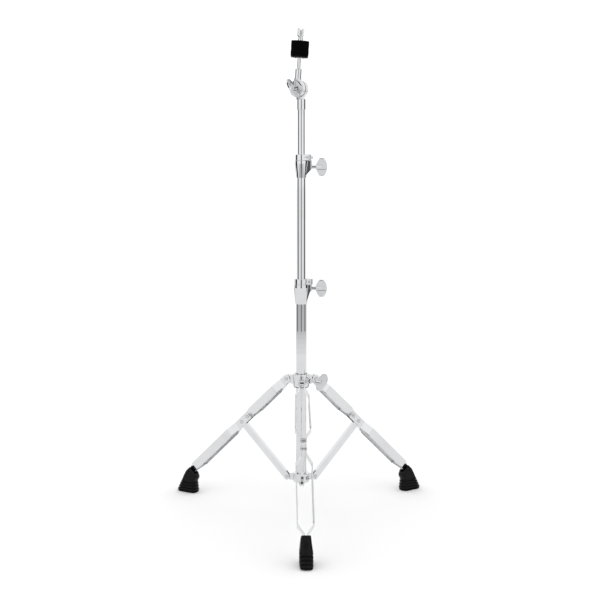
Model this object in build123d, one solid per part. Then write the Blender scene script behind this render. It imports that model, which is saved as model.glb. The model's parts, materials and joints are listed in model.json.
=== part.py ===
from build123d import *
import os
from math import cos, pi, radians, sin

# A straight cymbal stand in millimetres. The origin is on the tube axis at floor level, +Z is up,
# and the front leg points along -Y. Angles around the tube are measured from +X towards +Y.

# ---- Driving dimensions ----
# Telescoping tubes. The two larger tubes come out at the standard 22.2 and 25.4 mm.
upper_od = 19.05
tube_wall = 1.2
tube_gap = 0.385
base_tube_length = 471
middle_tube_length = 502
upper_tube_length = 470
middle_shown = 304
upper_shown = 155.5

# Rounds and chamfers that break the edges of castings, bolts and tubes.
hub_round = 1.6
casting_round = 1.2
lug_round = 3
lock_round = 1.4
fine_chamfer = 0.6
blade_round = 0.9
hub_edge_round = 0.8
disc_round = 1.5
ferrule_round = 1
felt_round = 3

# Clearances.
running_gap = 0.06
pin_gap = 0.05
side_gap = 0.3

# Legs, braces and their pivots.
leg_headings = {"front": -90, "right": 30, "left": 150}
leg_angle = 46.1
leg_reach = 397
leg_in_foot = 12
brace_length = 181
pivot_radius = 39
foot_mouth_height = 61.8

# Leg strips: two pressed steel strips per leg, pinched together and bowed apart along the way.
strip_width = 20
strip_thickness = 1.6
strip_lip = 1.5
strip_lip_depth = 1.4
strip_lip_inset = 5
strip_lip_taper = 6
pinch_inside = 10
upper_bow_start_inside = 31.4
upper_bow_end_inside = 36
lower_bow_inside = 36.4
foot_inside = 4.4
strip_width_in_foot = 16
upper_bow_start = 39
upper_bow_rise = 25
bow_end_to_brace_pivot = 50
upper_bow_fall = 20
brace_pivot_to_bow_rise = 16
lower_bow_rise = 25
lower_bow_end_to_foot = 25
lower_bow_fall = 24
bend_radius = 6

# Braces: U-channels between the brace bracket and the legs.
brace_depth = 16
brace_wall = 1.5
brace_web_start = 12

# Rivets.
rivet_radius = 3
rivet_head_radius = 4.8
rivet_head_height = 1.5
spacer_radius = 5
spacer_to_brace_pivot = 22.5

# Crown and brace bracket.
crown_radius = 19.7
crown_below_pivot = 15
crown_above_pivot = 17
crown_tongue_end = 9
crown_bush_wall = 2
crown_bush_lip = 1.6
crown_bush_lip_radius = 18.4
crown_boss_reach = 24
crown_boss_radius = 8
crown_wing_heading = -30
crown_wing_start = 43
bracket_radius = 19.7
bracket_below_pivot = 6.4
bracket_above_pivot = 16
bracket_tongue_end = 6
bracket_screw_heading = -40
bracket_screw_radius = 3
bracket_screw_head_radius = 4.5
bracket_screw_head_height = 3
plug_lip = 2
plug_depth = 14
plug_wall = 2

# Height clamps and memory locks.
clamp_seat = 24
clamp_lip = 1.3
clamp_shoulder = 5.8
clamp_lug_width = 15
clamp_lug_reach = 25.4
clamp_rim = 8
clamp_heading = -3
bolt_recess_radius = 5.6
bolt_recess_depth = 4
lower_clamp_height = 48
lower_clamp_bolt_drop = 9.8
upper_clamp_height = 42
upper_clamp_bolt_drop = 15.7
clamp_bolt_side = 8.8
lock_height = 14
lock_wall = 6.6
lock_lug_width = 15
lock_lug_beyond_tube = 17
lock_lug_round = 5
lock_split = 1.6
lower_lock_heading = -20
upper_lock_heading = -35
key_bolt_beyond_tube = 11
key_bolt_radius = 2.8
key_bolt_tip = 1
key_bolt_flange = 1.4
key_bolt_flange_radius = 4.4
key_bolt_head = 5.8
key_bolt_head_height = 6

# Wing bolts.
wing_span = 47
wing_thickness = 4.8
wing_depth = 27
wing_end_rise = 8
wing_end_depth = 11
wing_web_half = 7
wing_hub_radius = 6.3
wing_hub_length = 14
wing_shank_radius = 4
wing_start = 35
wing_rim = 2.4
wing_pocket = 1.1
wing_turn_lower = -38
wing_turn_upper = -26
wing_turn_crown = -44

# Tilter.
ferrule_radius = 11.4
ferrule_overlap = 19
ferrule_cap = 6
tilter_above_ferrule = 24
tilter_neck_radius = 8.6
disc_radius = 19.5
base_disc_back = -3
base_disc_front = 9
disc_gap = 0.3
tooth_height = 1
tooth_count = 36
tooth_inner_radius = 13
head_disc_thickness = 12
tilt_heading = 232
tilt_lean = 4.6
tilter_wing_start = 22.5
tilter_wing_turn = 30
tilter_nut_size = 13
tilter_nut_height = 6.5

# Tilter head, cymbal rod and what sits on it, measured along the rod from the tilt axis.
head_neck_radius = 8.3
head_neck_clearance = 1
head_neck_top = 45
rod_socket_depth = 18
rod_shoulder = 68.5
rod_body_radius = 4.6
rod_thread_radius = 4
rod_top = 134
seat_washer_radius = 12
seat_washer_height = 2
seat_radius = 20.5
seat_height = 3
sleeve_radius = 6
sleeve_below_felt_top = 2.6
felt_radius = 21
felt_height = 17.8
felt_gap = 0.3
wing_nut_radius = 5.7
wing_nut_height = 10
wing_nut_span = 24
wing_nut_rise = 28.4
wing_nut_inside = 4.7
wing_nut_thickness = 3.4
wing_nut_bevel = 0.5

# Rubber feet. The outline is measured outward from the leg's mouth in the foot and up from the floor.
foot_width = 29
foot_mouth_width = 22
foot_back = -13
foot_front = 46
foot_toe_rise = 4
foot_tip_rise = 4.7
foot_heel_drop = 12.3
foot_rib_depth = 2.2
foot_rib_pitch = 7.6
foot_groove_height = 3.6
foot_groove_count = 4
foot_socket_gap = 0.15

# ---- Sizes that follow from the driving dimensions ----
middle_od = upper_od + 2 * (tube_wall + tube_gap)
base_od = middle_od + 2 * (tube_wall + tube_gap)
leg_sin = sin(radians(leg_angle))
leg_cos = cos(radians(leg_angle))
strip_end = leg_reach + leg_in_foot
upper_bow_end = brace_length - bow_end_to_brace_pivot
lower_bow_rise_start = brace_length + brace_pivot_to_bow_rise
lower_bow_start = lower_bow_rise_start + lower_bow_rise
lower_bow_end = leg_reach - lower_bow_end_to_foot
crown_pivot_z = foot_mouth_height + leg_reach * leg_cos
bracket_pivot_z = crown_pivot_z - 2 * brace_length * leg_cos
foot_mouth_radius = pivot_radius + leg_reach * leg_sin
bracket_bottom = bracket_pivot_z - bracket_below_pivot
bracket_top = bracket_pivot_z + bracket_above_pivot
base_bottom = bracket_bottom
base_top = base_bottom + base_tube_length
middle_top = base_top + middle_shown
upper_top = middle_top + upper_shown
lower_clamp_top = base_top - clamp_seat + lower_clamp_height
upper_clamp_top = middle_top - clamp_seat + upper_clamp_height
brace_width = pinch_inside - 2 * side_gap
bracket_tongue = brace_width - 2 * brace_wall - 2 * side_gap
crown_tongue = pinch_inside - 2 * side_gap
disc_z = upper_top + ferrule_cap + tilter_above_ferrule
head_back = base_disc_front + disc_gap
head_middle = head_back + tooth_height + (head_disc_thickness - tooth_height) / 2
head_front = head_back + head_disc_thickness
lower_felt_bottom = rod_shoulder + seat_washer_height + seat_height
upper_felt_bottom = lower_felt_bottom + felt_height
upper_felt_top = upper_felt_bottom + felt_height

BASE = (Align.CENTER, Align.CENTER, Align.MIN)


# ---- Frames ----
def upright(z, heading=0):
    """Local X points outward at the heading and local Z points up, at height z on the tube axis."""
    outward = (cos(radians(heading)), sin(radians(heading)), 0)
    return Plane(origin=(0, 0, z), x_dir=outward, z_dir=(0, 0, 1))


def radial(z, heading):
    """Local Z points outward at the heading and local X points up, at height z on the tube axis."""
    outward = (cos(radians(heading)), sin(radians(heading)), 0)
    return Plane(origin=(0, 0, z), x_dir=(0, 0, 1), z_dir=outward)


def along_leg(heading):
    """Origin at the crown pivot, local X down the leg, local Y sideways, local Z up off the leg."""
    out_x = cos(radians(heading))
    out_y = sin(radians(heading))
    origin = (pivot_radius * out_x, pivot_radius * out_y, crown_pivot_z)
    down = (leg_sin * out_x, leg_sin * out_y, -leg_cos)
    above = (leg_cos * out_x, leg_cos * out_y, leg_sin)
    return Plane(origin=origin, x_dir=down, z_dir=above)


def along_brace(heading):
    """Origin at the bracket pivot, local X up the brace, local Y sideways, local Z towards the tube."""
    out_x = cos(radians(heading))
    out_y = sin(radians(heading))
    origin = (pivot_radius * out_x, pivot_radius * out_y, bracket_pivot_z)
    rising = (leg_sin * out_x, leg_sin * out_y, leg_cos)
    inward = (-leg_cos * out_x, -leg_cos * out_y, leg_sin)
    return Plane(origin=origin, x_dir=rising, z_dir=inward)


def leg_side(heading):
    """Vertical plane through a leg: local X outward, local Y up."""
    out_x = cos(radians(heading))
    out_y = sin(radians(heading))
    return Plane(origin=(0, 0, 0), x_dir=(out_x, out_y, 0), z_dir=(out_y, -out_x, 0))


def rod_frame():
    """Origin where the tilt axis meets the tube axis, local X along the tilt axis, local Z up the rod."""
    tilt_x = cos(radians(tilt_heading))
    tilt_y = sin(radians(tilt_heading))
    lean = sin(radians(tilt_lean))
    rod_direction = (-lean * tilt_y, lean * tilt_x, cos(radians(tilt_lean)))
    return Plane(origin=(0, 0, disc_z), x_dir=(tilt_x, tilt_y, 0), z_dir=rod_direction)


# ---- Simple solids ----
def bar(radius, start, end):
    return Pos(0, 0, start) * Cylinder(radius, end - start, align=BASE)


def pipe(outer, inner, start, end):
    return bar(outer, start, end) - bar(inner, start - 1, end + 1)


def cross_bar(radius, x, half_length, z=0):
    """A round bar across local Y, centred on the leg plane."""
    return Pos(x, 0, z) * Rot(90, 0, 0) * Cylinder(radius, 2 * half_length)


def hex_bar(across_flats, start, end):
    outline = RegularPolygon(across_flats / 2, 6, major_radius=False)
    return Pos(0, 0, start) * extrude(outline, end - start)


def write(shape, node):
    shape.label = node
    export_step(shape, "parts/" + node + ".step")


# ---- Tubes ----
def tube_stage(outer_diameter, bottom, top):
    body = pipe(outer_diameter / 2, outer_diameter / 2 - tube_wall, bottom, top)
    return chamfer(body.edges().filter_by(GeomType.CIRCLE).sort_by(Axis.Z)[-2:], tube_wall / 4)


def base_plug():
    inside = base_od / 2 - tube_wall
    body = bar(base_od / 2, base_bottom - plug_lip, base_bottom)
    body = chamfer(body.edges().sort_by(Axis.Z)[0], plug_lip / 4)
    body += bar(inside, base_bottom, base_bottom + plug_depth)
    return body - bar(inside - plug_wall, base_bottom, base_bottom + plug_depth + 1)


# ---- Brace bracket and crown ----
def tongue(thickness, end_radius, lower, upper):
    """A plate from the hub to a pivot, in a frame at pivot height with local X outward."""
    outline = Polygon(
        (base_od / 2, lower),
        (pivot_radius, -end_radius),
        (pivot_radius, end_radius),
        (base_od / 2, upper),
        align=None,
    )
    outline += Pos(pivot_radius, 0) * Circle(end_radius)
    return Rot(90, 0, 0) * extrude(outline, thickness / 2, both=True)


def tongued_hub(radius, below, above, plate):
    """A hub with one plate for each leg, in a frame at pivot height."""
    body = bar(radius, -below, above)
    body = fillet(body.edges().filter_by(GeomType.CIRCLE), hub_round)
    hole = cross_bar(rivet_radius + pin_gap, pivot_radius, 2 * radius)
    for heading in leg_headings.values():
        body += Rot(0, 0, heading) * plate
        body -= Rot(0, 0, heading) * hole
    return body


def brace_bracket():
    plate = tongue(bracket_tongue, bracket_tongue_end, -bracket_tongue_end, bracket_above_pivot - 2)
    body = tongued_hub(bracket_radius, bracket_below_pivot, bracket_above_pivot, plate)
    body = Pos(0, 0, bracket_pivot_z) * body
    body -= bar(base_od / 2, bracket_bottom - 1, bracket_top + 1)
    middle = (bracket_bottom + bracket_top) / 2
    return body - radial(middle, bracket_screw_heading) * bar(bracket_screw_radius, 0, 2 * bracket_radius)


def bracket_screw():
    middle = (bracket_bottom + bracket_top) / 2
    head_end = bracket_radius + bracket_screw_head_height
    body = bar(bracket_screw_radius, base_od / 2 + side_gap, bracket_radius)
    body += bar(bracket_screw_head_radius, bracket_radius, head_end)
    socket = hex_bar(bracket_screw_radius, bracket_radius + 1, head_end + 1)
    return radial(middle, bracket_screw_heading) * (body - socket)


def crown_bore():
    return base_od / 2 + running_gap + crown_bush_wall


def crown():
    plate = tongue(crown_tongue, crown_tongue_end, -crown_below_pivot + 3, crown_above_pivot - 3)
    body = tongued_hub(crown_radius, crown_below_pivot, crown_above_pivot, plate)
    body = Pos(0, 0, crown_pivot_z) * body
    boss = radial(crown_pivot_z, crown_wing_heading)
    body += boss * bar(crown_boss_radius, 0, crown_boss_reach)
    body -= bar(crown_bore(), crown_pivot_z - crown_below_pivot - 1, crown_pivot_z + crown_above_pivot + 1)
    body -= boss * bar(wing_shank_radius + pin_gap, 0, crown_boss_reach + 1)
    return body - boss * bar(bolt_recess_radius, crown_boss_reach - bolt_recess_depth, crown_boss_reach + 1)


def crown_bush():
    bottom = crown_pivot_z - crown_below_pivot
    top = crown_pivot_z + crown_above_pivot
    inside = base_od / 2 + running_gap
    body = bar(crown_bore(), bottom, top) + bar(crown_bush_lip_radius, bottom - crown_bush_lip, bottom)
    return body - bar(inside, bottom - crown_bush_lip - 1, top + 1)


# ---- Height clamps ----
def clamp_casting(outer_diameter, bush_outside, seat_top, top, height, bolt_drop):
    """A tapered casting pressed on a tube, with a flat-sided lug for the wing bolt."""
    bottom = top - height
    slim = outer_diameter / 2 + clamp_lip
    wide = outer_diameter / 2 + clamp_shoulder
    taper_top = top - clamp_rim
    outline = Polygon((0, bottom), (slim, bottom), (wide, taper_top), (wide, top), (0, top), align=None)
    body = revolve(Plane.XZ * outline, Axis.Z)
    bolt_z = top - bolt_drop
    lug_bottom = bolt_z - clamp_bolt_side
    lug_outline = Polygon(
        (0, top),
        (clamp_lug_reach, top),
        (clamp_lug_reach, lug_bottom + clamp_bolt_side / 2),
        (clamp_lug_reach - clamp_bolt_side / 2, lug_bottom),
        (slim, bottom + clamp_rim),
        (0, bottom + clamp_rim),
        align=None,
    )
    lug = Rot(90, 0, 0) * extrude(lug_outline, clamp_lug_width / 2, both=True)
    lug = fillet(lug.edges().filter_by(Axis.Z).group_by(Axis.X)[-1], lug_round)
    body += Rot(0, 0, clamp_heading) * lug
    body = fillet(body.edges().group_by(Axis.Z)[-1], casting_round)
    body = fillet(body.edges().group_by(Axis.Z)[0], clamp_lip * 0.6)
    body -= bar(outer_diameter / 2, bottom - 1, seat_top)
    body -= bar(bush_outside, seat_top, top + 1)
    hole = bar(wing_shank_radius + pin_gap, 0, clamp_lug_reach + 1)
    hole += bar(bolt_recess_radius, clamp_lug_reach - bolt_recess_depth, clamp_lug_reach + 1)
    return body - radial(bolt_z, clamp_heading) * hole


def clamp_bush(bush_outside, sliding_diameter, bottom, top):
    return pipe(bush_outside, sliding_diameter / 2 + running_gap, bottom, top)


def memory_lock(sliding_diameter, bottom, heading):
    """A split collar around the sliding tube, closed by a key bolt across its lug."""
    outside = sliding_diameter / 2 + lock_wall
    lug_reach = sliding_diameter / 2 + lock_lug_beyond_tube
    bolt_reach = sliding_diameter / 2 + key_bolt_beyond_tube
    body = bar(outside, 0, lock_height)
    lug = Pos(lug_reach / 2, 0, lock_height / 2) * Box(lug_reach, lock_lug_width, lock_height)
    body += fillet(lug.edges().filter_by(Axis.Z).group_by(Axis.X)[-1], lock_lug_round)
    body = fillet(body.edges().group_by(Axis.Z)[-1], lock_round)
    body = chamfer(body.edges().group_by(Axis.Z)[0], fine_chamfer)
    body -= bar(sliding_diameter / 2 + running_gap, -1, lock_height + 1)
    body -= Pos(lug_reach, 0, 0) * Box(2 * lug_reach, lock_split, 4 * lock_height)
    body -= cross_bar(key_bolt_radius + pin_gap, bolt_reach, lock_lug_width, lock_height / 2)
    return upright(bottom, heading) * body


def key_bolt(sliding_diameter, bottom, heading):
    """A square-headed bolt across the lug of a memory lock, with its head at the back."""
    reach = sliding_diameter / 2 + key_bolt_beyond_tube
    lug_side = lock_lug_width / 2
    body = bar(key_bolt_radius, -lug_side - key_bolt_tip, lug_side)
    body = chamfer(body.edges().group_by(Axis.Z)[0], fine_chamfer)
    body += bar(key_bolt_flange_radius, lug_side, lug_side + key_bolt_flange)
    head_start = lug_side + key_bolt_flange
    head = Pos(0, 0, head_start + key_bolt_head_height / 2)
    head = head * Box(key_bolt_head, key_bolt_head, key_bolt_head_height)
    body += chamfer(head.edges().group_by(Axis.Z)[-1], fine_chamfer)
    return upright(bottom + lock_height / 2, heading) * Pos(reach, 0, 0) * Rot(-90, 0, 0) * body


# ---- Wing bolts ----
def wing_blade(start):
    """The flat blade of a wing bolt in the local XZ plane, with the bolt along local Z."""
    half = wing_span / 2
    end_inner = start + wing_end_rise
    end_outer = end_inner + wing_end_depth
    sides = Polyline(
        (-half, end_outer),
        (-half, end_inner),
        (-wing_hub_radius, start),
        (wing_hub_radius, start),
        (half, end_inner),
        (half, end_outer),
    )
    crest = ThreePointArc((half, end_outer), (0, start + wing_depth), (-half, end_outer))
    outline = make_face(sides + crest)
    outline = fillet(outline.vertices().filter_by(lambda v: abs(v.X) > half - 1), wing_end_depth * 0.45)
    blade = Rot(90, 0, 0) * extrude(outline, wing_thickness / 2, both=True)
    blade = fillet(blade.faces().filter_by(Axis.Y).edges(), blade_round)
    inset = offset(outline, -wing_rim)
    inset -= Rectangle(2 * wing_web_half, 8 * wing_depth)
    pocket = Rot(90, 0, 0) * extrude(inset, wing_pocket)
    near = Pos(0, wing_thickness / 2, 0) * pocket
    far = Pos(0, -wing_thickness / 2 + wing_pocket, 0) * pocket
    return blade - near - far


def wing_bolt(tip, start):
    body = bar(wing_shank_radius, tip, start + 2)
    hub = Pos(0, 0, start) * Cone(wing_hub_radius, wing_hub_radius - 1.2, wing_hub_length, align=BASE)
    hub = fillet(hub.edges().filter_by(GeomType.CIRCLE), hub_edge_round)
    return body + hub + wing_blade(start)


# ---- Legs ----
def strip_stations():
    """Distance along the leg and half the inside width between the strips, from crown to foot."""
    return [
        (-strip_width / 2, pinch_inside / 2),
        (upper_bow_start - upper_bow_rise, pinch_inside / 2),
        (upper_bow_start, upper_bow_start_inside / 2),
        (upper_bow_end, upper_bow_end_inside / 2),
        (upper_bow_end + upper_bow_fall, pinch_inside / 2),
        (lower_bow_rise_start, pinch_inside / 2),
        (lower_bow_start, lower_bow_inside / 2),
        (lower_bow_end, lower_bow_inside / 2),
        (lower_bow_end + lower_bow_fall, foot_inside / 2),
        (strip_end, foot_inside / 2),
    ]


def strip_outline():
    """One strip seen square on: round at the crown and narrower where it enters the foot."""
    wide = strip_width / 2
    slim = strip_width_in_foot / 2
    blade = Polygon(
        (0, -wide),
        (lower_bow_end, -wide),
        (leg_reach, -slim),
        (strip_end, -slim),
        (strip_end, slim),
        (leg_reach, slim),
        (lower_bow_end, wide),
        (0, wide),
        align=None,
    )
    return blade + Circle(wide)


def strip_lips(first, second):
    """The bent edges of a bowed length between two stations, tapering out at both ends."""
    rise = (second[1] - first[1]) / (second[0] - first[0])
    start = first[0] + strip_lip_inset
    end = second[0] - strip_lip_inset
    start_inside = first[1] + rise * strip_lip_inset
    end_inside = second[1] - rise * strip_lip_inset
    outline = Polygon(
        (start, start_inside + strip_thickness / 2),
        (end, end_inside + strip_thickness / 2),
        (end, end_inside),
        (end - strip_lip_taper, end_inside - rise * strip_lip_taper - strip_lip_depth),
        (start + strip_lip_taper, start_inside + rise * strip_lip_taper - strip_lip_depth),
        (start, start_inside),
        align=None,
    )
    lip = extrude(outline, strip_lip)
    low = Pos(0, 0, -strip_width / 2) * lip
    high = Pos(0, 0, strip_width / 2 - strip_lip) * lip
    return low + high


def leg_strip(side):
    stations = strip_stations()
    outside = [(x, y + strip_thickness) for x, y in reversed(stations)]
    web_outline = Polygon(*stations, *outside, align=None)
    bends = web_outline.vertices().filter_by(lambda v: stations[1][0] - 1 < v.X < stations[-2][0] + 1)
    web_outline = fillet(bends, bend_radius)
    web = extrude(web_outline, strip_width, both=True)
    web = web & (Rot(90, 0, 0) * extrude(strip_outline(), 2 * lower_bow_inside, both=True))
    web += strip_lips(stations[2], stations[3])
    web += strip_lips(stations[6], stations[7])
    for place in (0, brace_length - spacer_to_brace_pivot, brace_length):
        web -= cross_bar(rivet_radius, place, lower_bow_inside)
    return web if side > 0 else mirror(web, Plane.XZ)


def leg_rivet(place, spacer=False):
    """A rivet across both strips where they are pinched, with a spacer sleeve if one is wanted."""
    outer_face = pinch_inside / 2 + strip_thickness
    body = cross_bar(rivet_radius, place, outer_face)
    for side in (1, -1):
        middle = side * (outer_face + rivet_head_height / 2)
        head = Pos(place, middle, 0) * Rot(90, 0, 0) * Cylinder(rivet_head_radius, rivet_head_height)
        rim = head.edges().filter_by(GeomType.CIRCLE).sort_by(Axis.Y)[-1 if side > 0 else 0]
        body += fillet(rim, rivet_head_height * 0.6)
    if spacer:
        body += cross_bar(spacer_radius, place, pinch_inside / 2)
    return body


def brace():
    """A U-channel open away from the tube, its web cut back where the bracket's tongue goes in."""
    overall = brace_length + brace_depth
    middle = Pos(brace_length / 2, 0, 0)
    solid = extrude(SlotOverall(overall, brace_depth), brace_width / 2, both=True)
    solid = middle * Rot(90, 0, 0) * solid
    inner = brace_width - 2 * brace_wall
    hollow = Pos(brace_length / 2, 0, -brace_wall) * Box(2 * overall, inner, brace_depth)
    notch = Pos(brace_web_start - brace_depth, 0, 0) * Box(2 * brace_depth, inner, 2 * brace_depth)
    body = solid - hollow - notch
    for place in (0, brace_length):
        body -= cross_bar(rivet_radius + pin_gap, place, brace_width)
    return body


def bracket_pin():
    half = brace_width / 2
    body = cross_bar(rivet_radius, 0, half)
    for side in (1, -1):
        head = Pos(0, side * (half + rivet_head_height / 2), 0)
        head = head * Rot(90, 0, 0) * Cylinder(rivet_head_radius, rivet_head_height)
        rim = head.edges().filter_by(GeomType.CIRCLE).sort_by(Axis.Y)[-1 if side > 0 else 0]
        body += fillet(rim, rivet_head_height * 0.6)
    return body


def foot_outline():
    """The foot seen from the side, outward from the leg's mouth and up from the floor."""
    return Polygon(
        (foot_back + 3, 0),
        (foot_front - 4, 0),
        (foot_front, foot_toe_rise),
        (foot_front - 8, 20),
        (foot_front - 14, 31),
        (foot_front - 20, 45),
        (foot_front - 27, foot_mouth_height - 4),
        (9, foot_mouth_height + foot_tip_rise),
        (foot_back + 1, foot_mouth_height - foot_heel_drop),
        (foot_back - 2, foot_mouth_height - 18),
        (foot_back - 1, foot_mouth_height - 24),
        (foot_back + 4, foot_mouth_height - 30),
        (foot_back, 3),
        align=None,
    )


def foot_socket():
    """The space that the pinched strips take in the foot, in the leg's frame."""
    outer = foot_inside / 2 + strip_thickness + foot_socket_gap
    flare = lower_bow_inside / 2 + strip_thickness + foot_socket_gap
    outline = Polygon(
        (lower_bow_end, -flare),
        (lower_bow_end + lower_bow_fall, -outer),
        (strip_end, -outer),
        (strip_end, outer),
        (lower_bow_end + lower_bow_fall, outer),
        (lower_bow_end, flare),
        align=None,
    )
    return extrude(outline, strip_width / 2, both=True)


def foot():
    """A ribbed rubber foot in a frame with local X outward from the leg's mouth and local Y up."""
    outline = foot_outline()
    rounded = fillet(outline.vertices().filter_by(lambda v: v.Y > foot_toe_rise + 1), 2)
    block = extrude(rounded, foot_width / 2, both=True)
    groove_top = foot_groove_count * foot_rib_pitch + 2
    end_plane = Plane(origin=(0, 0, 0), x_dir=(0, 0, -1), z_dir=(1, 0, 0))
    half = foot_width / 2
    flank = Polygon(
        (-half + 2, 0),
        (half - 2, 0),
        (half, 2),
        (half, groove_top),
        (foot_mouth_width / 2, foot_mouth_height),
        (foot_mouth_width / 2, 2 * foot_mouth_height),
        (-foot_mouth_width / 2, 2 * foot_mouth_height),
        (-foot_mouth_width / 2, foot_mouth_height),
        (-half, groove_top),
        (-half, 2),
        align=None,
    )
    block = block & (end_plane * extrude(flank, 3 * foot_front, both=True))
    core = extrude(offset(outline, -foot_rib_depth), half - foot_rib_depth, both=True)
    for index in range(foot_groove_count):
        middle = (index + 0.5) * foot_rib_pitch + foot_groove_height / 2
        groove = Pos(0, middle, 0) * Box(4 * foot_front, foot_groove_height, 2 * foot_width)
        block -= groove - core
    return block


# ---- Tilter ----
def tooth_ring(base, direction):
    """Radial teeth standing on a disc face along local Z, in the given direction."""
    pitch = 2 * pi * tooth_inner_radius / tooth_count
    length = disc_radius - 0.5 - tooth_inner_radius
    profile = Polygon((-pitch / 2, 0), (pitch / 2, 0), (0, tooth_height), align=None)
    tooth = Rot(90, 0, 0) * extrude(profile, length)
    tooth = Pos(0, tooth_inner_radius + length, 0) * tooth
    if direction < 0:
        tooth = mirror(tooth, Plane.XY)
    teeth = [Rot(0, 0, 360 * index / tooth_count) * tooth for index in range(tooth_count)]
    return [Pos(0, 0, base) * tooth for tooth in teeth]


def tilter_base():
    ferrule_bottom = upper_top - ferrule_overlap
    ferrule_top = upper_top + ferrule_cap
    ferrule = bar(ferrule_radius, ferrule_bottom, ferrule_top)
    ferrule = fillet(ferrule.edges().filter_by(GeomType.CIRCLE), ferrule_round)
    disc_face = base_disc_front - tooth_height
    disc = bar(disc_radius, base_disc_back, disc_face)
    disc = fillet(disc.edges().filter_by(GeomType.CIRCLE).sort_by(Axis.Z)[0], disc_round)
    neck_length = tilter_above_ferrule + 1
    neck = Pos(-neck_length / 2, 0, (base_disc_back + disc_face) / 2)
    neck = neck * Box(neck_length, 2 * tilter_neck_radius, disc_face - base_disc_back)
    across = radial(disc_z, tilt_heading)
    body = ferrule + across * (disc + neck + tooth_ring(disc_face, 1))
    body -= bar(upper_od / 2, ferrule_bottom - 1, upper_top)
    return body - across * bar(wing_shank_radius + pin_gap, -disc_radius, disc_radius)


def tilter_head():
    """The upper disc of the tilter with the socket for the rod, in the rod's frame."""
    disc_face = head_back + tooth_height
    disc = bar(disc_radius, disc_face, head_front)
    disc = fillet(disc.edges().filter_by(GeomType.CIRCLE).sort_by(Axis.Z)[-1], disc_round)
    disc += Rot(0, 0, 180 / tooth_count) * Compound(children=tooth_ring(disc_face, -1))
    disc -= bar(wing_shank_radius + pin_gap, 0, 2 * head_front)
    neck_bottom = disc_radius + head_neck_clearance
    link = Pos((disc_face + head_front) / 2, 0, neck_bottom / 2 + 3)
    link = link * Box(head_front - disc_face, 2 * head_neck_radius - 2, neck_bottom)
    neck = bar(head_neck_radius, neck_bottom, head_neck_top)
    neck = fillet(neck.edges().filter_by(GeomType.CIRCLE), casting_round)
    link -= Rot(0, 90, 0) * bar(wing_shank_radius + 3, 0, 2 * head_front)
    body = Rot(0, 90, 0) * disc + link + Pos(head_middle, 0, 0) * neck
    return body - Pos(head_middle, 0, 0) * bar(rod_body_radius, head_neck_top - rod_socket_depth, rod_shoulder)


def cymbal_rod():
    body = bar(rod_body_radius, head_neck_top - rod_socket_depth, rod_shoulder)
    body += bar(rod_thread_radius, rod_shoulder, rod_top)
    return chamfer(body.edges().filter_by(GeomType.CIRCLE).sort_by(Axis.Z)[-1], hub_edge_round)


def seat_washer():
    body = bar(seat_washer_radius, rod_shoulder, rod_shoulder + seat_washer_height)
    body = fillet(body.edges().filter_by(GeomType.CIRCLE), fine_chamfer)
    return body - bar(rod_thread_radius, 0, rod_top)


def cymbal_seat():
    bottom = rod_shoulder + seat_washer_height
    flange = bar(seat_radius, bottom, bottom + seat_height)
    flange = fillet(flange.edges().filter_by(GeomType.CIRCLE).sort_by(Axis.Z)[0], disc_round)
    body = flange + bar(sleeve_radius, bottom, upper_felt_top - sleeve_below_felt_top)
    return body - bar(rod_thread_radius, 0, rod_top)


def felt(bottom):
    body = bar(felt_radius, bottom, bottom + felt_height)
    body = fillet(body.edges().filter_by(GeomType.CIRCLE), felt_round)
    return body - bar(sleeve_radius + felt_gap, bottom - 1, bottom + felt_height + 1)


def wing_nut():
    hub = Pos(0, 0, upper_felt_top)
    hub = hub * Cone(wing_nut_radius + 1, wing_nut_radius - 0.5, wing_nut_height, align=BASE)
    half = wing_nut_span / 2
    outline = Polygon(
        (0, 2),
        (wing_nut_radius, 2),
        (wing_nut_radius, wing_nut_height - 2),
        (half, wing_nut_height + 1),
        (half, wing_nut_rise),
        (wing_nut_inside, wing_nut_rise),
        (wing_nut_inside, wing_nut_height - 1),
        (0, wing_nut_height - 1),
        align=None,
    )
    outline += mirror(outline, Plane.YZ)
    tips = outline.vertices().filter_by(lambda v: v.Y > wing_nut_height)
    outline = fillet(tips, casting_round)
    blade = Rot(90, 0, 0) * extrude(outline, wing_nut_thickness / 2, both=True)
    blade = chamfer(blade.faces().filter_by(Axis.Y).edges(), wing_nut_bevel)
    return hub + Pos(0, 0, upper_felt_top) * blade - bar(rod_thread_radius + pin_gap, 0, 2 * rod_top)


def tilter_nut():
    body = hex_bar(tilter_nut_size, base_disc_back - tilter_nut_height, base_disc_back)
    return radial(disc_z, tilt_heading) * (body - bar(wing_shank_radius + pin_gap, -disc_radius, 0))


# ---- Assembly ----
def write_base():
    write(tube_stage(base_od, base_bottom, base_top), "base_tube")
    write(base_plug(), "base_plug")
    write(brace_bracket(), "brace_bracket")
    write(bracket_screw(), "bracket_screw")


def write_crown():
    write(crown(), "crown")
    write(crown_bush(), "crown_bush")
    bolt = Rot(0, 0, wing_turn_crown) * wing_bolt(crown_bore() + side_gap, crown_wing_start)
    write(radial(crown_pivot_z, crown_wing_heading) * bolt, "crown_wing_bolt")


def write_leg(name, heading):
    leg = along_leg(heading)
    write(leg * leg_strip(1), "leg_strip_a_" + name)
    write(leg * leg_strip(-1), "leg_strip_b_" + name)
    write(leg * leg_rivet(0), "crown_pin_" + name)
    write(leg * leg_rivet(brace_length), "brace_pin_" + name)
    write(leg * leg_rivet(brace_length - spacer_to_brace_pivot, spacer=True), "leg_spacer_" + name)
    write(along_brace(heading) * brace(), "brace_" + name)
    write(along_brace(heading) * bracket_pin(), "bracket_pin_" + name)
    rubber = leg_side(heading) * Pos(foot_mouth_radius, 0, 0) * foot()
    write(rubber - leg * foot_socket(), "foot_" + name)


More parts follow.
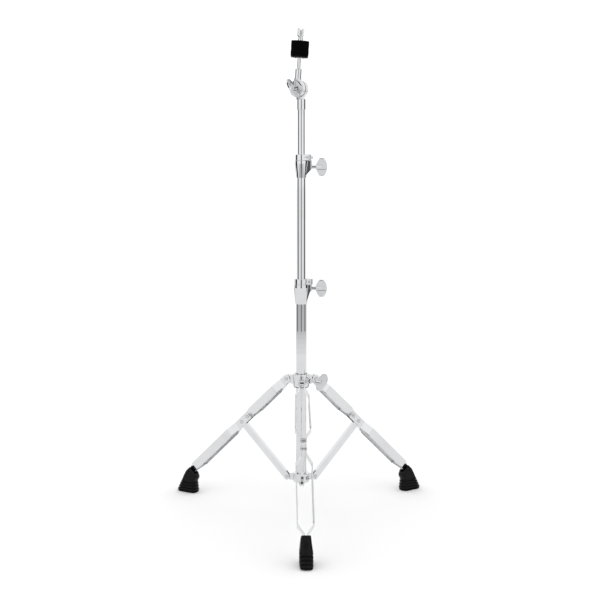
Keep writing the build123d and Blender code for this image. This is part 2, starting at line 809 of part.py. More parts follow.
def write_clamp(name, outer_diameter, sliding_diameter, tube_top, height, bolt_drop):
    """One height clamp with its bush."""
    bush_outside = outer_diameter / 2
    top = tube_top - clamp_seat + height
    write(clamp_casting(outer_diameter, bush_outside, tube_top, top, height, bolt_drop), name + "_clamp")
    write(clamp_bush(bush_outside, sliding_diameter, tube_top, top), name + "_clamp_bush")


def write_clamp_hardware(name, outer_diameter, sliding_diameter, top, bolt_drop, turn, lock_heading):
    """The wing bolt of a height clamp and the memory lock that rests on it."""
    bolt = Rot(0, 0, turn) * wing_bolt(outer_diameter / 2 + side_gap, wing_start)
    write(radial(top - bolt_drop, clamp_heading) * bolt, name + "_wing_bolt")
    write(memory_lock(sliding_diameter, top, lock_heading), name + "_memory_lock")
    write(key_bolt(sliding_diameter, top, lock_heading), name + "_key_bolt")


def write_top():
    write(tube_stage(upper_od, upper_top - upper_tube_length, upper_top), "upper_tube")
    write(tilter_base(), "tilter_base")
    write(tilter_nut(), "tilter_nut")
    bolt = Rot(0, 0, tilter_wing_turn) * wing_bolt(base_disc_back - tilter_nut_height, tilter_wing_start)
    write(radial(disc_z, tilt_heading) * bolt, "tilter_wing_bolt")
    frame = rod_frame()
    write(frame * tilter_head(), "tilter_head")
    on_rod = frame * Pos(head_middle, 0, 0)
    write(on_rod * cymbal_rod(), "cymbal_rod")
    write(on_rod * seat_washer(), "seat_washer")
    write(on_rod * cymbal_seat(), "cymbal_seat")
    write(on_rod * felt(lower_felt_bottom), "lower_felt")
    write(on_rod * felt(upper_felt_bottom), "upper_felt")
    write(on_rod * wing_nut(), "wing_nut")


os.makedirs("parts", exist_ok=True)
write_base()
write_crown()
for leg_name, leg_heading in leg_headings.items():
    write_leg(leg_name, leg_heading)
write_clamp("lower", base_od, middle_od, base_top, lower_clamp_height, lower_clamp_bolt_drop)
write_clamp_hardware(
    "lower", base_od, middle_od, lower_clamp_top, lower_clamp_bolt_drop, wing_turn_lower, lower_lock_heading
)
write(tube_stage(middle_od, middle_top - middle_tube_length, middle_top), "middle_tube")
write_clamp("upper", middle_od, upper_od, middle_top, upper_clamp_height, upper_clamp_bolt_drop)
write_clamp_hardware(
    "upper", middle_od, upper_od, upper_clamp_top, upper_clamp_bolt_drop, wing_turn_upper, upper_lock_heading
)
write_top()
print("pivots", round(crown_pivot_z, 2), round(bracket_pivot_z, 2), "tops", base_top, middle_top, upper_top)
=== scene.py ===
import json
from math import cos, pi, radians, sin

import bmesh
import bpy
from mathutils import Matrix, Vector


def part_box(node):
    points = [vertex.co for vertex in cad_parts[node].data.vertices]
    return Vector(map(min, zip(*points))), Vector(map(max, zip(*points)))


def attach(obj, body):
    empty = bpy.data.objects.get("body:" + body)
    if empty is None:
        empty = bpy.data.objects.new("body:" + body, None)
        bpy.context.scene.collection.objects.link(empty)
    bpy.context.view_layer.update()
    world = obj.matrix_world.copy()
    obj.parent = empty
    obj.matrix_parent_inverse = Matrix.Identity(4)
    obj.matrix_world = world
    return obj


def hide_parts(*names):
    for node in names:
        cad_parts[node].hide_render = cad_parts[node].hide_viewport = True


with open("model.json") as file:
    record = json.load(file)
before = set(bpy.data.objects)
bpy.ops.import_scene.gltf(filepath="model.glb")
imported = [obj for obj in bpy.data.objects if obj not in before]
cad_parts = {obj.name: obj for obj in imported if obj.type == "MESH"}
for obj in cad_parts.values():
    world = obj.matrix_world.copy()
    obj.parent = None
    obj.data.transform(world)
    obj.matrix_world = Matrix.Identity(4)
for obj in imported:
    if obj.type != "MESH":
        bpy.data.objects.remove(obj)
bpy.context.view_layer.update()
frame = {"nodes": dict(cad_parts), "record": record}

# Looks for a chrome cymbal stand: studio, finishes, rubber feet, felts and threads.
# Lengths are in metres, in the frame's own axes: +Z up along the tubes, -Y along the front leg.
# A section with other units says so in its heading.

MM = 0.001
record = frame["record"]
joints = {joint["name"]: joint for joint in record["behaviour"]["joints"]}
leg_headings = {"front": -90, "right": 30, "left": 150}

# ---- Camera: distances in metres, angles in degrees, lens in millimetres ----
camera_distance = 2.413
camera_height = 0.866
camera_heading = -1.82
camera_pitch = 7.79
camera_aside = 0.0745
camera_lens = 60.0

# ---- Studio: tones run from 0, black, to 1, white ----
floor_size = 60.0
floor_albedo = 0.9
studio_light = 1.16
card_distance = 2.7
card_height = 3.2
front_card_width = 0.84
front_card_tone = 0.12
side_card_width = 1.5
side_card_tone = 0.0
side_card_heading = 88.0
dim_floor_start = 2.1
dim_floor_end = 2.74
dim_floor_lift = 2 * MM
dim_floor_tones = (0.97, 0.93, 0.87, 0.8, 0.73)
skirting_height = 0.15
skirting_tone = 0.65
ceiling_height = 3.3
ceiling_tone = 0.92
ring_sides = 64

# ---- Rubber feet ----
# Lengths without MM are in millimetres: heights up from the floor, reaches outward from the leg's mouth.
foot_height = 66.5 * MM
foot_front_edge = [(0, 42), (4, 46), (20, 38), (31, 32), (45, 26), (57.8, 19), (66.5, 10)]
foot_back_edge = [(0, -10), (3, -13), (31.8, -9), (37.8, -14), (43.8, -15), (49.5, -12.5), (66.5, -12.5)]
foot_half_width = [(0, 13), (2, 14.5), (33, 14.5), (61.8, 11), (66.5, 10.5)]
foot_corner_radius = 9 * MM
foot_corner_segments = 6
rib_pitch = 7.6
rib_groove_height = 3.6
rib_groove_depth = 3.0
rib_skirt = 0.8
rib_count = 4
rib_groove_slant = 0.4
sole_round = 1.2
neck_above_ribs = 1.6
neck_ring_step = 3.0
mouth_low = (-12, 49.5)
mouth_high = (9, 66.5)
mouth_wall = 2.6 * MM
mouth_slot_squeeze = 0.66
mouth_depth = 7 * MM
foot_edge_round = 0.5 * MM
foot_edge_angle = 38

# ---- Felts ----
felt_radius = 21 * MM
felt_height = 17.8 * MM
felt_hole_radius = 6.3 * MM
felt_edge_round = 1.1 * MM
felt_sides = 96
felt_turn = 70  # degrees between one felt and the next
felt_crown = 1.012
felt_lump_height = 0.12 * MM
felt_lump_size = 3.2 * MM

# ---- Threads: starts are measured along each screw from its joint ----
thread_pitch = 1.25 * MM
thread_radius = 4 * MM
thread_ridge = 0.34 * MM
thread_steps = 28
clamp_lug_reach = 25.4 * MM
clamp_wing_start = 35 * MM
crown_boss_reach = 24 * MM
crown_wing_start = 43 * MM
rod_thread_start = 10 * MM
rod_thread_length = 14 * MM


# ---- Small helpers ----
def select_only(piece):
    bpy.ops.object.select_all(action="DESELECT")
    piece.select_set(True)
    bpy.context.view_layer.objects.active = piece


def settle(piece, name):
    """Name a finished piece and put its place into its mesh."""
    piece.name = name
    piece.data.name = name
    select_only(piece)
    bpy.ops.object.transform_apply(location=True, rotation=True, scale=True)
    return piece


def place(piece, matrix):
    piece.matrix_world = matrix
    select_only(piece)
    bpy.ops.object.transform_apply(location=True, rotation=True, scale=True)


def pick(piece, kind, wanted):
    """In edit mode, select the faces, edges or vertices that are wanted, and nothing else."""
    bpy.ops.mesh.select_mode(type=kind)
    bpy.ops.mesh.select_all(action="DESELECT")
    mesh = bmesh.from_edit_mesh(piece.data)
    elements = {"FACE": mesh.faces, "EDGE": mesh.edges, "VERT": mesh.verts}[kind]
    for element in elements:
        if wanted(element):
            element.select_set(True)
    mesh.select_flush_mode()
    bmesh.update_edit_mesh(piece.data)


def apply_modifier(piece, kind, **values):
    select_only(piece)
    modifier = piece.modifiers.new(kind.lower(), kind)
    for key, value in values.items():
        setattr(modifier, key, value)
    bpy.ops.object.modifier_apply(modifier=modifier.name)


def smooth(piece, angle):
    select_only(piece)
    bpy.ops.object.shade_smooth_by_angle(angle=radians(angle))


def outward_normals(piece):
    select_only(piece)
    bpy.ops.object.mode_set(mode="EDIT")
    bpy.ops.mesh.select_all(action="SELECT")
    bpy.ops.mesh.normals_make_consistent(inside=False)
    bpy.ops.object.mode_set(mode="OBJECT")


def along(points, at):
    """The value at a place on a line of (place, value) points."""
    for (first, low), (second, high) in zip(points, points[1:]):
        if at <= second:
            return low + (high - low) * (at - first) / (second - first)
    return points[-1][1]


def turned_to(axis, origin):
    """A matrix whose local Z points along the axis from the origin."""
    turn = Vector((0, 0, 1)).rotation_difference(Vector(axis))
    return Matrix.Translation(Vector(origin)) @ turn.to_matrix().to_4x4()


# ---- Camera and studio ----
def add_camera():
    heading = radians(camera_heading)
    data = bpy.data.cameras.new("studio_camera")
    data.lens = camera_lens
    data.clip_end = 100.0
    camera = bpy.data.objects.new("studio_camera", data)
    camera.location = (sin(heading) * camera_distance, -cos(heading) * camera_distance, camera_height)
    camera.rotation_euler = (radians(90 - camera_pitch), 0, heading + radians(camera_aside))
    bpy.context.scene.collection.objects.link(camera)
    bpy.context.scene.camera = camera


def plain_material(name, color, roughness):
    material = bpy.data.materials.new(name)
    material.use_nodes = True
    shader = material.node_tree.nodes["Principled BSDF"]
    shader.inputs["Base Color"].default_value = (*color, 1)
    shader.inputs["Roughness"].default_value = roughness
    shader.inputs["Specular IOR Level"].default_value = 0.0
    return material


def add_floor():
    bpy.ops.object.select_all(action="DESELECT")
    bpy.ops.mesh.primitive_plane_add(size=floor_size)
    floor = bpy.context.object
    floor.name = "studio_floor"
    floor.data.materials.append(plain_material("floor_white", (floor_albedo,) * 3, 1.0))


def add_card(name, heading, width, low, high, tone):
    """An upright card that only reflections see, facing the tube from the given side."""
    bpy.ops.object.select_all(action="DESELECT")
    bpy.ops.mesh.primitive_plane_add(size=1)
    card = bpy.context.object
    card.name = name
    card.scale = (width, high - low, 1)
    card.rotation_euler = (pi / 2, 0, radians(heading))
    place_x = sin(radians(heading)) * card_distance
    place_y = -cos(radians(heading)) * card_distance
    card.location = (place_x, place_y, (low + high) / 2)
    card.data.materials.append(glow_material(name + "_tone", tone))
    hide_from_camera(card)


def hide_from_camera(piece):
    """Keep a stage piece for mirror reflections only."""
    piece.visible_camera = False
    piece.visible_diffuse = False
    piece.visible_shadow = False


def add_flat_ring(name, height, inner, outer, tone):
    """A flat ring, or with no inner radius a disc, that only reflections see."""
    bpy.ops.object.select_all(action="DESELECT")
    bpy.ops.mesh.primitive_circle_add(
        vertices=ring_sides, radius=outer, fill_type="NGON", location=(0, 0, height)
    )
    ring = bpy.context.object
    ring.name = name
    if inner:
        bpy.ops.object.mode_set(mode="EDIT")
        bpy.ops.mesh.inset(thickness=outer - inner)
        bpy.ops.mesh.delete(type="FACE")
        bpy.ops.object.mode_set(mode="OBJECT")
    ring.data.materials.append(glow_material(name + "_tone", tone))
    hide_from_camera(ring)


def add_skirting():
    """A dim band round the foot of the studio wall."""
    bpy.ops.object.select_all(action="DESELECT")
    bpy.ops.mesh.primitive_cylinder_add(
        vertices=ring_sides, radius=dim_floor_end, depth=skirting_height, end_fill_type="NOTHING",
        location=(0, 0, skirting_height / 2),
    )
    band = bpy.context.object
    band.name = "dim_skirting"
    band.data.materials.append(glow_material("dim_skirting_tone", skirting_tone))
    hide_from_camera(band)


def glow_material(name, tone):
    """A surface of one even brightness, whatever light falls on it."""
    material = plain_material(name, (0, 0, 0), 1.0)
    shader = material.node_tree.nodes["Principled BSDF"]
    shader.inputs["Emission Color"].default_value = (tone, tone, tone, 1)
    shader.inputs["Emission Strength"].default_value = 1.0
    return material


def add_studio():
    world = bpy.data.worlds.new("white_studio")
    world.use_nodes = True
    background = world.node_tree.nodes["Background"]
    background.inputs["Color"].default_value = (1, 1, 1, 1)
    background.inputs["Strength"].default_value = studio_light
    bpy.context.scene.world = world
    bpy.context.scene.view_settings.view_transform = "Standard"
    add_floor()
    ring_width = (dim_floor_end - dim_floor_start) / len(dim_floor_tones)
    for index, tone in enumerate(dim_floor_tones):
        inner = dim_floor_start + index * ring_width
        add_flat_ring("dim_floor_" + str(index), dim_floor_lift, inner, inner + ring_width, tone)
    add_flat_ring("ceiling", ceiling_height, 0, dim_floor_end, ceiling_tone)
    add_skirting()
    left = camera_heading - side_card_heading
    right = camera_heading + side_card_heading
    add_card("front_card", camera_heading, front_card_width, 0, card_height, front_card_tone)
    add_card("left_card", left, side_card_width, 0, card_height, side_card_tone)
    add_card("right_card", right, side_card_width, 0, card_height, side_card_tone)


# ---- Finishes ----
def new_group(name, inputs, outputs):
    group = bpy.data.node_groups.new(name, "ShaderNodeTree")
    for label, kind, value in inputs:
        socket = group.interface.new_socket(name=label, in_out="INPUT", socket_type=kind)
        socket.default_value = value
    for label, kind in outputs:
        group.interface.new_socket(name=label, in_out="OUTPUT", socket_type=kind)
    group.nodes.new("NodeGroupInput")
    group.nodes.new("NodeGroupOutput")
    return group


def noise(tree, vector, scale, detail=3.0, roughness=0.5):
    node = tree.nodes.new("ShaderNodeTexNoise")
    node.inputs["Scale"].default_value = scale
    node.inputs["Detail"].default_value = detail
    node.inputs["Roughness"].default_value = roughness
    tree.links.new(vector, node.inputs["Vector"])
    return node.outputs["Fac"]


def spread(tree, value, low, high, to_low=0.0, to_high=1.0):
    node = tree.nodes.new("ShaderNodeMapRange")
    node.inputs["From Min"].default_value = low
    node.inputs["From Max"].default_value = high
    node.inputs["To Min"].default_value = to_low
    node.inputs["To Max"].default_value = to_high
    tree.links.new(value, node.inputs["Value"])
    return node.outputs["Result"]


def calculate(tree, operation, first, second):
    node = tree.nodes.new("ShaderNodeMath")
    node.operation = operation
    for socket, value in zip(node.inputs, (first, second)):
        if isinstance(value, (int, float)):
            socket.default_value = value
        else:
            tree.links.new(value, socket)
    return node.outputs["Value"]


def blend_color(tree, factor, first, second):
    node = tree.nodes.new("ShaderNodeMix")
    node.data_type = "RGBA"
    tree.links.new(factor, node.inputs["Factor"])
    tree.links.new(first, node.inputs["A"])
    tree.links.new(second, node.inputs["B"])
    return node.outputs["Result"]


def stretch(tree, vector, scale):
    node = tree.nodes.new("ShaderNodeMapping")
    node.inputs["Scale"].default_value = scale
    tree.links.new(vector, node.inputs["Vector"])
    return node.outputs["Vector"]


COLOR = "NodeSocketColor"
FLOAT = "NodeSocketFloat"
VECTOR = "NodeSocketVector"


def plated_metal_group():
    """Bright plating with faint haze from handling, fine polishing lines and specks of dust."""
    group = new_group(
        "plated_metal",
        [
            ("Vector", VECTOR, (0, 0, 0)),
            ("Up", VECTOR, (0, 0, 1)),
            ("Plate Color", COLOR, (0.66, 0.67, 0.68, 1)),
            ("Haze Color", COLOR, (0.56, 0.57, 0.58, 1)),
            ("Dust Color", COLOR, (0.5, 0.49, 0.47, 1)),
            ("Bright Roughness", FLOAT, 0.05),
            ("Hazy Roughness", FLOAT, 0.14),
            ("Line Scale", FLOAT, 900.0),
            ("Dust Amount", FLOAT, 0.15),
        ],
        [("Color", COLOR), ("Roughness", FLOAT), ("Height", FLOAT)],
    )
    given = group.nodes["Group Input"].outputs
    result = group.nodes["Group Output"].inputs
    haze = spread(group, noise(group, given["Vector"], 16.0, 5.0, 0.6), 0.46, 0.72)
    specks = spread(group, noise(group, given["Vector"], 520.0, 2.0), 0.66, 0.72)
    up = group.nodes.new("ShaderNodeSeparateXYZ")
    group.links.new(given["Up"], up.inputs["Vector"])
    facing_up = spread(group, up.outputs["Z"], 0.35, 1.0)
    dust = calculate(group, "MULTIPLY", facing_up, calculate(group, "MULTIPLY", specks, given["Dust Amount"]))
    lines = group.nodes.new("ShaderNodeTexNoise")
    lines.inputs["Detail"].default_value = 2.0
    group.links.new(given["Line Scale"], lines.inputs["Scale"])
    group.links.new(stretch(group, given["Vector"], (0.04, 0.04, 1.0)), lines.inputs["Vector"])
    color = blend_color(group, haze, given["Plate Color"], given["Haze Color"])
    color = blend_color(group, dust, color, given["Dust Color"])
    extra = calculate(group, "SUBTRACT", given["Hazy Roughness"], given["Bright Roughness"])
    rough = calculate(group, "MULTIPLY", haze, extra)
    rough = calculate(group, "ADD", rough, given["Bright Roughness"])
    rough = calculate(group, "ADD", rough, calculate(group, "MULTIPLY", dust, 0.5))
    rough = calculate(group, "ADD", rough, spread(group, lines.outputs["Fac"], 0.3, 0.7, -0.012, 0.012))
    group.links.new(color, result["Color"])
    group.links.new(rough, result["Roughness"])
    group.links.new(lines.outputs["Fac"], result["Height"])
    return group


def moulded_group():
    """Moulded rubber or plastic: fine grain, rubbed lighter patches and a little dust."""
    group = new_group(
        "moulded_surface",
        [
            ("Vector", VECTOR, (0, 0, 0)),
            ("Up", VECTOR, (0, 0, 1)),
            ("Body Color", COLOR, (0.02, 0.02, 0.022, 1)),
            ("Rubbed Color", COLOR, (0.05, 0.05, 0.05, 1)),
            ("Dust Color", COLOR, (0.2, 0.19, 0.18, 1)),
            ("Smooth Roughness", FLOAT, 0.45),
            ("Rubbed Roughness", FLOAT, 0.65),
            ("Grain Scale", FLOAT, 1400.0),
            ("Dust Amount", FLOAT, 0.3),
        ],
        [("Color", COLOR), ("Roughness", FLOAT), ("Height", FLOAT)],
    )
    given = group.nodes["Group Input"].outputs
    result = group.nodes["Group Output"].inputs
    rubbed = spread(group, noise(group, given["Vector"], 55.0, 5.0, 0.65), 0.42, 0.75)
    grain = group.nodes.new("ShaderNodeTexNoise")
    grain.inputs["Detail"].default_value = 2.0
    group.links.new(given["Grain Scale"], grain.inputs["Scale"])
    group.links.new(given["Vector"], grain.inputs["Vector"])
    up = group.nodes.new("ShaderNodeSeparateXYZ")
    group.links.new(given["Up"], up.inputs["Vector"])
    specks = spread(group, noise(group, given["Vector"], 700.0, 2.0), 0.52, 0.7)
    dust = calculate(group, "MULTIPLY", spread(group, up.outputs["Z"], 0.2, 1.0), specks)
    dust = calculate(group, "MULTIPLY", dust, given["Dust Amount"])
    color = blend_color(group, rubbed, given["Body Color"], given["Rubbed Color"])
    color = blend_color(group, dust, color, given["Dust Color"])
    extra = calculate(group, "SUBTRACT", given["Rubbed Roughness"], given["Smooth Roughness"])
    rough = calculate(group, "ADD", given["Smooth Roughness"], calculate(group, "MULTIPLY", rubbed, extra))
    group.links.new(color, result["Color"])
    group.links.new(rough, result["Roughness"])
    group.links.new(grain.outputs["Fac"], result["Height"])
    return group


def felt_group():
    """Pressed wool: matted fibres running every way, paler where they stand up."""
    group = new_group(
        "pressed_wool",
        [
            ("Vector", VECTOR, (0, 0, 0)),
            ("Deep Color", COLOR, (0.0006, 0.0006, 0.0007, 1)),
            ("Fibre Color", COLOR, (0.004, 0.004, 0.0043, 1)),
            ("Fibre Scale", FLOAT, 1100.0),
        ],
        [("Color", COLOR), ("Roughness", FLOAT), ("Height", FLOAT)],
    )
    given = group.nodes["Group Input"].outputs
    result = group.nodes["Group Output"].inputs
    twist = group.nodes.new("ShaderNodeVectorMath")
    twist.operation = "MULTIPLY_ADD"
    warp = group.nodes.new("ShaderNodeTexNoise")
    warp.inputs["Scale"].default_value = 260.0
    group.links.new(given["Vector"], warp.inputs["Vector"])
    group.links.new(warp.outputs["Color"], twist.inputs[0])
    twist.inputs[1].default_value = (0.0035, 0.0035, 0.0035)
    group.links.new(given["Vector"], twist.inputs[2])
    fibres = None
    for direction in ((1.0, 0.12, 0.3), (0.14, 1.0, 0.5), (0.4, 0.3, 0.12)):
        strand = group.nodes.new("ShaderNodeTexNoise")
        strand.inputs["Detail"].default_value = 1.0
        group.links.new(given["Fibre Scale"], strand.inputs["Scale"])
        group.links.new(stretch(group, twist.outputs["Vector"], direction), strand.inputs["Vector"])
        ridge = calculate(group, "ABSOLUTE", calculate(group, "SUBTRACT", strand.outputs["Fac"], 0.5), 0.0)
        ridge = spread(group, ridge, 0.0, 0.07, 1.0, 0.0)
        fibres = ridge if fibres is None else calculate(group, "MAXIMUM", fibres, ridge)
    color = blend_color(group, fibres, given["Deep Color"], given["Fibre Color"])
    group.links.new(color, result["Color"])
    group.links.new(spread(group, fibres, 0.0, 1.0, 0.98, 0.86), result["Roughness"])
    group.links.new(fibres, result["Height"])
    return group


def finish_material(name, group, values, metallic, bump_distance, bump_strength, **constants):
    """A material whose colour, roughness and bump come from one shared effect."""
    material = bpy.data.materials.new(name)
    material.use_nodes = True
    tree = material.node_tree
    shader = tree.nodes["Principled BSDF"]
    shader.inputs["Metallic"].default_value = metallic
    for key, value in constants.items():
        shader.inputs[key.replace("_", " ")].default_value = value
    effect = tree.nodes.new("ShaderNodeGroup")
    effect.node_tree = group
    for key, value in values.items():
        effect.inputs[key].default_value = value
    position = tree.nodes.new("ShaderNodeTexCoord")
    tree.links.new(position.outputs["Object"], effect.inputs["Vector"])
    if "Up" in effect.inputs:
        tree.links.new(position.outputs["Normal"], effect.inputs["Up"])
    bump = tree.nodes.new("ShaderNodeBump")
    bump.inputs["Strength"].default_value = bump_strength
    bump.inputs["Distance"].default_value = bump_distance
    tree.links.new(effect.outputs["Height"], bump.inputs["Height"])
    tree.links.new(effect.outputs["Color"], shader.inputs["Base Color"])
    tree.links.new(effect.outputs["Roughness"], shader.inputs["Roughness"])
    tree.links.new(bump.outputs["Normal"], shader.inputs["Normal"])
    return material


def plating(name, shade, haze, bright, hazy, line_scale, dust, bump_strength):
    values = {
        "Plate Color": (shade, shade * 1.01, shade * 1.025, 1),
        "Haze Color": (haze, haze * 1.01, haze * 1.02, 1),
        "Bright Roughness": bright,
        "Hazy Roughness": hazy,
        "Line Scale": line_scale,
        "Dust Amount": dust,
    }
    return finish_material(name, groups["plated_metal"], values, 1.0, 0.02 * MM, bump_strength)


def moulded(name, body, rubbed, smooth_rough, rubbed_rough, grain_scale, dust, bump_distance, specular):
    values = {
        "Body Color": (body, body, body * 1.05, 1),
        "Rubbed Color": (rubbed, rubbed, rubbed * 1.02, 1),
        "Smooth Roughness": smooth_rough,
        "Rubbed Roughness": rubbed_rough,
        "Grain Scale": grain_scale,
        "Dust Amount": dust,
    }
    return finish_material(
        name, groups["moulded_surface"], values, 0.0, bump_distance, 0.5, Specular_IOR_Level=specular
    )


def felt_material():
    return finish_material(
        "black_wool_felt", groups["pressed_wool"], {}, 0.0, 0.25 * MM, 0.8, Specular_IOR_Level=0.01
    )


def make_finishes():
    """Every finish by its slot name, with values in the order that plating() and moulded() take them."""
    return {
        "chrome_tube": plating("chrome_on_tube", 0.68, 0.64, 0.02, 0.05, 2600.0, 0.05, 0.03),
        "chrome_casting": plating("chrome_on_casting", 0.68, 0.63, 0.04, 0.09, 700.0, 0.08, 0.1),
        "chrome_strip": plating("chrome_on_strip", 0.7, 0.65, 0.07, 0.14, 1500.0, 0.1, 0.1),
        "chrome_hardware": plating("chrome_on_hardware", 0.68, 0.62, 0.06, 0.12, 900.0, 0.08, 0.12),
        "rivet_steel": plating("plated_rivet", 0.58, 0.5, 0.18, 0.3, 1200.0, 0.1, 0.2),
        "steel_screw": plating("plated_screw", 0.48, 0.4, 0.2, 0.34, 1400.0, 0.12, 0.25),
        "nylon_bush": moulded("black_nylon", 0.02, 0.03, 0.38, 0.5, 1800.0, 0.2, 0.04 * MM, 0.4),
        "black_plastic": moulded("black_plastic_seat", 0.003, 0.006, 0.35, 0.5, 1600.0, 0.1, 0.04 * MM, 0.15),
        "rubber_foot": moulded("moulded_rubber", 0.002, 0.005, 0.36, 0.55, 1300.0, 0.03, 0.08 * MM, 0.14),
        "black_felt": felt_material(),
    }


def dress_frame():
    slots = {row["node"]: row["material_slot"] for row in record["subparts"]}
    for name, node in frame["nodes"].items():
        for material_slot in node.material_slots:
            material_slot.material = finishes[slots[name]]


# ---- Rubber feet ----
def foot_levels():
    """Heights and how far the wall stands back there, in millimetres, from the floor up."""
    levels = [(0, sole_round), (sole_round, 0)]
    for index in range(rib_count):
        low = (index + 0.5) * rib_pitch
        high = low + rib_groove_height
        levels += [(low, 0), (low + rib_groove_slant, rib_groove_depth)]
        levels += [(high - rib_groove_slant, rib_groove_depth), (high, -rib_skirt)]
    height = levels[-1][0] + neck_above_ribs
    while height < foot_height / MM:
        levels.append((height, 0))
        height += neck_ring_step
    levels.append((foot_height / MM, 0))
    return levels


def foot_ring(height, back_off):
    """Middle, half length and half width of the foot at a height, in metres."""
    front = along(foot_front_edge, height) - back_off
    back = along(foot_back_edge, height) + back_off
    width = along(foot_half_width, height) - back_off
    return (front + back) / 2 * MM, (front - back) / 2 * MM, width * MM


def raise_foot_wall():
    levels = foot_levels()
    middle, half, width = foot_ring(*levels[0])
    for (low, _), (high, back_off) in zip(levels, levels[1:]):
        next_middle, next_half, next_width = foot_ring(high, back_off)
        step = (next_middle - middle, 0, (high - low) * MM)
        bpy.ops.mesh.extrude_region_move(TRANSFORM_OT_translate={"value": step})
        centre = (next_middle, 0, high * MM)
        bpy.ops.transform.resize(value=(next_half / half, next_width / width, 1), center_override=centre)
        middle, half, width = next_middle, next_half, next_width


def cut_foot_mouth(piece):
    """Slice the neck square to the leg and sink the slot that the strips go into."""
    low = Vector((mouth_low[0], 0, mouth_low[1])) * MM
    high = Vector((mouth_high[0], 0, mouth_high[1])) * MM
    slope = (high - low).normalized()
    normal = Vector((-slope.z, 0, slope.x))
    bpy.ops.mesh.select_all(action="SELECT")
    bpy.ops.mesh.bisect(plane_co=low, plane_no=normal, use_fill=True, clear_outer=True)
    bpy.ops.mesh.normals_make_consistent(inside=False)
    pick(piece, "FACE", lambda face: abs((face.calc_center_median() - low).dot(normal)) < MM / 20)
    bpy.ops.mesh.inset(thickness=mouth_wall)
    mesh = bmesh.from_edit_mesh(piece.data)
    floor_face = max((face for face in mesh.faces if face.select), key=lambda face: face.calc_area())
    centre = floor_face.calc_center_median()
    bpy.ops.transform.resize(value=(1, mouth_slot_squeeze, 1), center_override=centre)
    bpy.ops.mesh.extrude_region_move(TRANSFORM_OT_translate={"value": -normal * mouth_depth})


def make_foot():
    """One foot, with its leg's mouth over the origin and pointing outward along +X."""
    levels = foot_levels()
    middle, half, width = foot_ring(*levels[0])
    bpy.ops.object.select_all(action="DESELECT")
    bpy.ops.mesh.primitive_plane_add(size=2, location=(middle, 0, 0))
    piece = bpy.context.object
    piece.scale = (half, width, 1)
    piece = settle(piece, "foot_pattern")
    bpy.ops.object.mode_set(mode="EDIT")
    pick(piece, "VERT", lambda vertex: True)
    bpy.ops.mesh.bevel(offset=foot_corner_radius, segments=foot_corner_segments, affect="VERTICES")
    pick(piece, "FACE", lambda face: True)
    bpy.ops.mesh.flip_normals()
    raise_foot_wall()
    cut_foot_mouth(piece)
    bpy.ops.object.mode_set(mode="OBJECT")
    outward_normals(piece)
    apply_modifier(
        piece, "BEVEL", width=foot_edge_round, segments=2, limit_method="ANGLE",
        angle_limit=radians(foot_edge_angle),
    )
    smooth(piece, 40)
    return piece


def foot_mouth_radius():
    """Distance from the tube axis to the mouth of a foot, from the reach of the front foot's box."""
    low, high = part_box("foot_front")
    return -low[1] - max(reach for _, reach in foot_front_edge) * MM


def add_feet():
    pattern = make_foot()
    place(pattern, Matrix.Translation((foot_mouth_radius(), 0, 0)))
    for name, heading in leg_headings.items():
        foot = pattern.copy()
        foot.data = pattern.data.copy()
        bpy.context.scene.collection.objects.link(foot)
        foot.matrix_world = Matrix.Rotation(radians(heading), 4, "Z")
        settle(foot, "rubber_foot_" + name)
        foot.data.materials.append(finishes["rubber_foot"])
        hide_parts("foot_" + name)
        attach(foot, name + "_leg")
    bpy.data.objects.remove(pattern)


# ---- Felts ----
def is_felt_rim(edge):
    first, second = edge.verts
    outside = all(vertex.co.xy.length > felt_radius * 0.98 for vertex in edge.verts)
    return outside and abs(first.co.z - second.co.z) < MM / 10


def is_felt_side(face):
    outside = face.calc_center_median().xy.length > felt_radius * 0.9
    return outside and abs(face.normal.z) < 0.1


def is_felt_waist(vertex):
    outside = vertex.co.xy.length > felt_radius * 0.99
    return outside and abs(vertex.co.z - felt_height / 2) < felt_height / 5


def make_felt(seed):
    """A thick pressed ring standing on the origin, with soft edges and slightly lumpy faces."""
    bpy.ops.object.select_all(action="DESELECT")
    bpy.ops.mesh.primitive_cylinder_add(
        vertices=felt_sides, radius=felt_radius, depth=felt_height,
        location=(0, 0, felt_height / 2), end_fill_type="NGON",
    )
    piece = bpy.context.object
    settle(piece, "felt_pattern")
    bpy.ops.object.mode_set(mode="EDIT")
    pick(piece, "FACE", lambda face: abs(face.normal.z) > 0.9)
    bpy.ops.mesh.inset(thickness=felt_radius - felt_hole_radius)
    bpy.ops.mesh.bridge_edge_loops(number_cuts=6)
    pick(piece, "EDGE", is_felt_rim)
    bpy.ops.mesh.bevel(offset=felt_edge_round, segments=5, affect="EDGES")
    pick(piece, "FACE", is_felt_side)
    bpy.ops.mesh.subdivide(number_cuts=5)
    pick(piece, "VERT", is_felt_waist)
    bpy.ops.transform.resize(value=(felt_crown, felt_crown, 1), center_override=(0, 0, felt_height / 2))
    bpy.ops.object.mode_set(mode="OBJECT")
    outward_normals(piece)
    apply_modifier(piece, "SUBSURF", levels=2, render_levels=2, subdivision_type="SIMPLE")
    lumps = bpy.data.textures.new("felt_lumps_" + str(seed), "CLOUDS")
    lumps.noise_scale = felt_lump_size
    apply_modifier(piece, "DISPLACE", texture=lumps, strength=felt_lump_height, mid_level=1.0)
    smooth(piece, 60)
    return piece


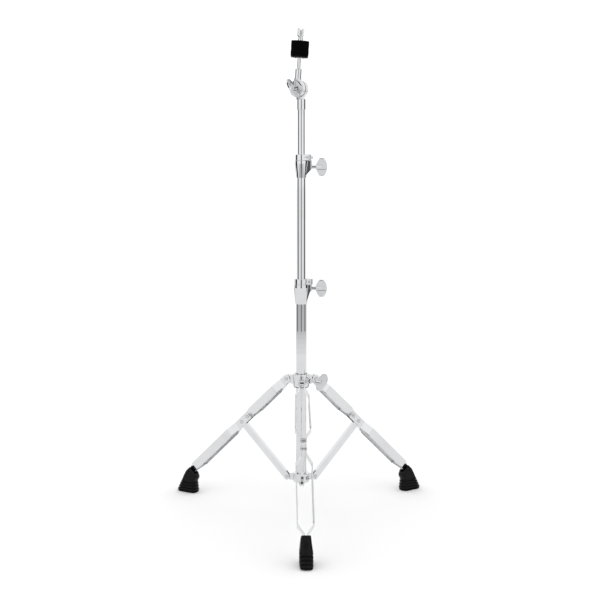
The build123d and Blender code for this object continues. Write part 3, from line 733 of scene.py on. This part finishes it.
def add_felts():
    axis = Vector(joints["nut_turn"]["axis"])
    top = Vector(joints["nut_turn"]["pos_m"])
    for name, body, count in (("upper", "top_felt", 1), ("lower", "head", 2)):
        felt = make_felt(count)
        turn = Matrix.Rotation(radians(felt_turn * count), 4, "Z")
        place(felt, turned_to(axis, top - axis * felt_height * count) @ turn)
        settle(felt, name + "_wool_felt")
        felt.data.materials.append(finishes["black_felt"])
        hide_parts(name + "_felt")
        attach(felt, body)


# ---- Threads ----
def make_thread(length):
    """A closed helical ridge on a bolt, from the origin up along Z."""
    turns = max(2, round(length / thread_pitch) - 1)
    bpy.ops.object.select_all(action="DESELECT")
    bpy.ops.mesh.primitive_circle_add(
        vertices=4, radius=thread_ridge,
        location=(thread_radius, 0, thread_pitch / 2), rotation=(pi / 2, 0, 0),
    )
    piece = bpy.context.object
    settle(piece, "thread_pattern")
    apply_modifier(
        piece, "SCREW", angle=2 * pi, screw_offset=thread_pitch, iterations=turns, steps=thread_steps,
        render_steps=thread_steps, use_smooth_shade=False,
    )
    bpy.ops.object.mode_set(mode="EDIT")
    bpy.ops.mesh.select_all(action="SELECT")
    bpy.ops.mesh.fill_holes(sides=4)
    bpy.ops.object.mode_set(mode="OBJECT")
    outward_normals(piece)
    return piece


def add_thread(name, body, joint, start, length):
    thread = make_thread(length)
    axis = Vector(joints[joint]["axis"])
    origin = Vector(joints[joint]["pos_m"])
    place(thread, turned_to(axis, origin + axis * start))
    settle(thread, name)
    smooth(thread, 30)
    thread.data.materials.append(finishes["chrome_hardware"])
    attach(thread, body)


def add_threads():
    clamp_length = clamp_wing_start - clamp_lug_reach
    crown_length = crown_wing_start - crown_boss_reach
    add_thread("lower_wing_thread", "lower_bolt", "lower_bolt_turn", clamp_lug_reach, clamp_length)
    add_thread("upper_wing_thread", "upper_bolt", "upper_bolt_turn", clamp_lug_reach, clamp_length)
    add_thread("crown_wing_thread", "crown_bolt", "crown_bolt_turn", crown_boss_reach, crown_length)
    add_thread("rod_top_thread", "head", "nut_turn", rod_thread_start, rod_thread_length)


add_camera()
add_studio()
groups = {
    "plated_metal": plated_metal_group(),
    "moulded_surface": moulded_group(),
    "pressed_wool": felt_group(),
}
finishes = make_finishes()
dress_frame()
add_feet()
add_felts()
add_threads()
